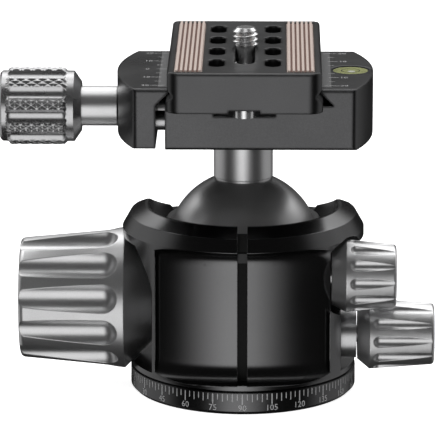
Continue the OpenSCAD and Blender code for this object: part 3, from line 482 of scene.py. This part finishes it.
def clamp_knob():
    """Clamp knob with its ridges knurled in diamonds and its scoops left smooth."""
    inner_x, length, ridge_r, collar_r = 40.2, 20.2, 9.9, 8.8
    cone_l, collar_l, slope, cone_r, edge = 1.8, 1.6, 1.0, 6.2, 0.6
    scoop_r, scoop_c, scoops, turn = 2.2, 10.7, 10, math.radians(13.5)
    scoop_from, scoop_to = cone_l + collar_l / 2 + scoop_r, length - collar_l / 2 - scoop_r
    along, around, depth, knurl_from, flank = 2.7, 1.66, 0.38, 4.0, 1.25
    sharp = 40
    corners = [(0, cone_r), (cone_l, collar_r), (cone_l + collar_l, collar_r),
               (cone_l + collar_l + slope, ridge_r), (length - collar_l - slope, ridge_r),
               (length - collar_l, collar_r), (length - edge, collar_r), (length, collar_r - edge)]
    diamonds = round(2 * math.pi * ridge_r / around)

    def profile(s):
        for (s0, r0), (s1, r1) in zip(corners, corners[1:]):
            if s <= s1:
                return r0 + (r1 - r0) * (s - s0) / (s1 - s0)
        return corners[-1][1]

    def knurl(angle, s):
        u = angle / (2 * math.pi) * diamonds
        v = (s - knurl_from) / along
        low = min(saw(u + v), saw(u - v))
        return depth * (1 - min(1.0, low * flank))

    def radius(angle, s):
        r = profile(s)
        if r > collar_r:
            r = max(collar_r, r - knurl(angle, s))
        past = max(scoop_from - s, s - scoop_to, 0.0)
        reach = scoop_r * scoop_r - past * past
        if reach > 0:
            pitch = 2 * math.pi / scoops
            off = angle - turn - pitch * round((angle - turn) / pitch)
            root = reach - (scoop_c * math.sin(off)) ** 2
            if root > 0:
                r = min(r, scoop_c * math.cos(off) - math.sqrt(root))
        return r

    def place(angle, s):
        r = radius(angle, s)
        return (-inner_x - s, r * math.sin(angle), SCREW_Z + r * math.cos(angle))

    fine, count = ((0.14, 480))
    rows = [0.0]
    for (s0, _), (s1, _) in zip(corners, corners[1:]):
        rows += steps(s0, s1, fine)[1:]
    knob = skin("clamp_knob_knurled", count, rows, place, "knurl_grey", "jaw_knob",
                sharp)
    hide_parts("clamp_knob")


dial_marks()
clamp_marks()
level_marks()
strip_groove_shade()
index_line()
camera_screw()
clamp_knob()


# The photograph's viewpoint

def photo_camera():
    focal_px, photo_px, sensor = 4023.0, 435.0, 36.0
    place, target = (7.87, -977.2, 289.9), (-6.46, 0.0, 43.13)
    cam = bpy.data.cameras.new("camera")
    cam.sensor_width = sensor
    cam.lens = focal_px / photo_px * sensor
    cam.clip_start = 0.01
    cam.clip_end = 50.0
    eye = bpy.data.objects.new("camera", cam)
    bpy.context.collection.objects.link(eye)
    eye.location = Vector(place) * MM
    aim = Vector(target) * MM
    eye.rotation_euler = (aim - eye.location).to_track_quat("-Z", "Y").to_euler()
    bpy.context.scene.camera = eye


photo_camera()


# Floor and light, in metres

def pale_floor():
    """Pale floor with a faint cloud; it glows a little and leaves the part's reflections alone."""
    half, cloud_scale, low, high, rough, glow = 6, 3.0, 0.90, 0.93, 0.9, 0.85
    me = bpy.data.meshes.new("floor")
    me.from_pydata([(-half, -half, 0), (half, -half, 0), (half, half, 0), (-half, half, 0)],
                   [], [(0, 1, 2, 3)])
    floor = bpy.data.objects.new("floor", me)
    bpy.context.collection.objects.link(floor)
    m = bpy.data.materials.new("floor")
    m.use_nodes = True
    t = m.node_tree
    b = t.nodes["Principled BSDF"]
    cloud = noise(t, node(t, "ShaderNodeTexCoord").outputs["Object"], cloud_scale)
    ramp = node(t, "ShaderNodeValToRGB")
    ramp.color_ramp.elements[0].color = (low, low, low, 1)
    ramp.color_ramp.elements[1].color = (high, high, high, 1)
    t.links.new(cloud, ramp.inputs["Fac"])
    t.links.new(ramp.outputs["Color"], b.inputs["Base Color"])
    b.inputs["Roughness"].default_value = rough
    b.inputs["Emission Color"].default_value = (1, 1, 1, 1)
    b.inputs["Emission Strength"].default_value = glow
    me.materials.append(m)
    floor.visible_glossy = False
    floor.visible_diffuse = False


pale_floor()

# Soft studio surroundings, by direction: azimuth (0 is the front, positive to the right) with its
# core and edge, elevation with its core and edge, all in degrees, then strength
PATCHES = [
    (-5, 0, 37, -22, 20, 42, 1.28),
    (-112, 20, 44, -5, 30, 60, 0.42),
    (108, 20, 42, -5, 30, 60, 0.36),
    (180, 50, 80, 44, 12, 28, 1.2),
    (180, 60, 95, 72, 24, 38, 0.9),
    (0, 180, 181, 90, 9, 18, 0.9),
]
BASE_GLOW = 0.02


def studio():
    world = bpy.data.worlds.new("studio")
    bpy.context.scene.world = world
    world.use_nodes = True
    t = world.node_tree
    t.nodes.clear()
    out = node(t, "ShaderNodeOutputWorld")
    light = node(t, "ShaderNodeBackground")
    t.links.new(light.outputs[0], out.inputs[0])
    sep = node(t, "ShaderNodeSeparateXYZ")
    t.links.new(node(t, "ShaderNodeTexCoord").outputs["Generated"], sep.inputs[0])
    x, y, z = sep.outputs
    degrees = 180 / math.pi
    elevation = math_node(t, "MULTIPLY", math_node(t, "ARCSINE", z), degrees)
    back = math_node(t, "MULTIPLY", y, -1.0)
    azimuth = math_node(t, "MULTIPLY", math_node(t, "ARCTAN2", x, back), degrees)

    def fall(value, centre, core, edge, whole_turn=False):
        """1 inside core of centre, easing to 0 at edge, in degrees."""
        off = math_node(t, "ABSOLUTE", math_node(t, "SUBTRACT", value, centre))
        if whole_turn:
            off = math_node(t, "MINIMUM", off, math_node(t, "SUBTRACT", 360.0, off))
        n = node(t, "ShaderNodeMapRange", interpolation_type="SMOOTHSTEP")
        n.inputs["From Min"].default_value = core
        n.inputs["From Max"].default_value = edge
        n.inputs["To Min"].default_value = 1.0
        n.inputs["To Max"].default_value = 0.0
        t.links.new(off, n.inputs["Value"])
        return n.outputs["Result"]

    total = None
    for az, az_core, az_edge, el, el_core, el_edge, strength in PATCHES:
        around = fall(azimuth, az, az_core, az_edge, True)
        up = fall(elevation, el, el_core, el_edge)
        glow = math_node(t, "MULTIPLY", math_node(t, "MULTIPLY", around, up), strength)
        total = glow if total is None else math_node(t, "ADD", total, glow)
    total = math_node(t, "ADD", total, BASE_GLOW)
    grey = node(t, "ShaderNodeCombineColor")
    for i in range(3):
        t.links.new(total, grey.inputs[i])
    t.links.new(grey.outputs[0], light.inputs["Color"])


studio()

LIGHT_TARGET = (0, 0, 0.04)


def softbox(name, place, size, power):
    light = bpy.data.lights.new(name, "AREA")
    light.size = size
    light.energy = power
    ob = bpy.data.objects.new(name, light)
    bpy.context.collection.objects.link(ob)
    ob.location = Vector(place)
    ob.rotation_euler = (Vector(LIGHT_TARGET) - ob.location).to_track_quat("-Z", "Y").to_euler()
    ob.visible_glossy = False


softbox("key", (-0.5, -0.7, 0.9), 0.6, 4.0)
softbox("fill", (0.7, -0.6, 0.5), 0.6, 2.0)
softbox("top", (0, 0.1, 1.1), 0.8, 2.5)

bpy.context.scene.view_settings.view_transform = "Standard"
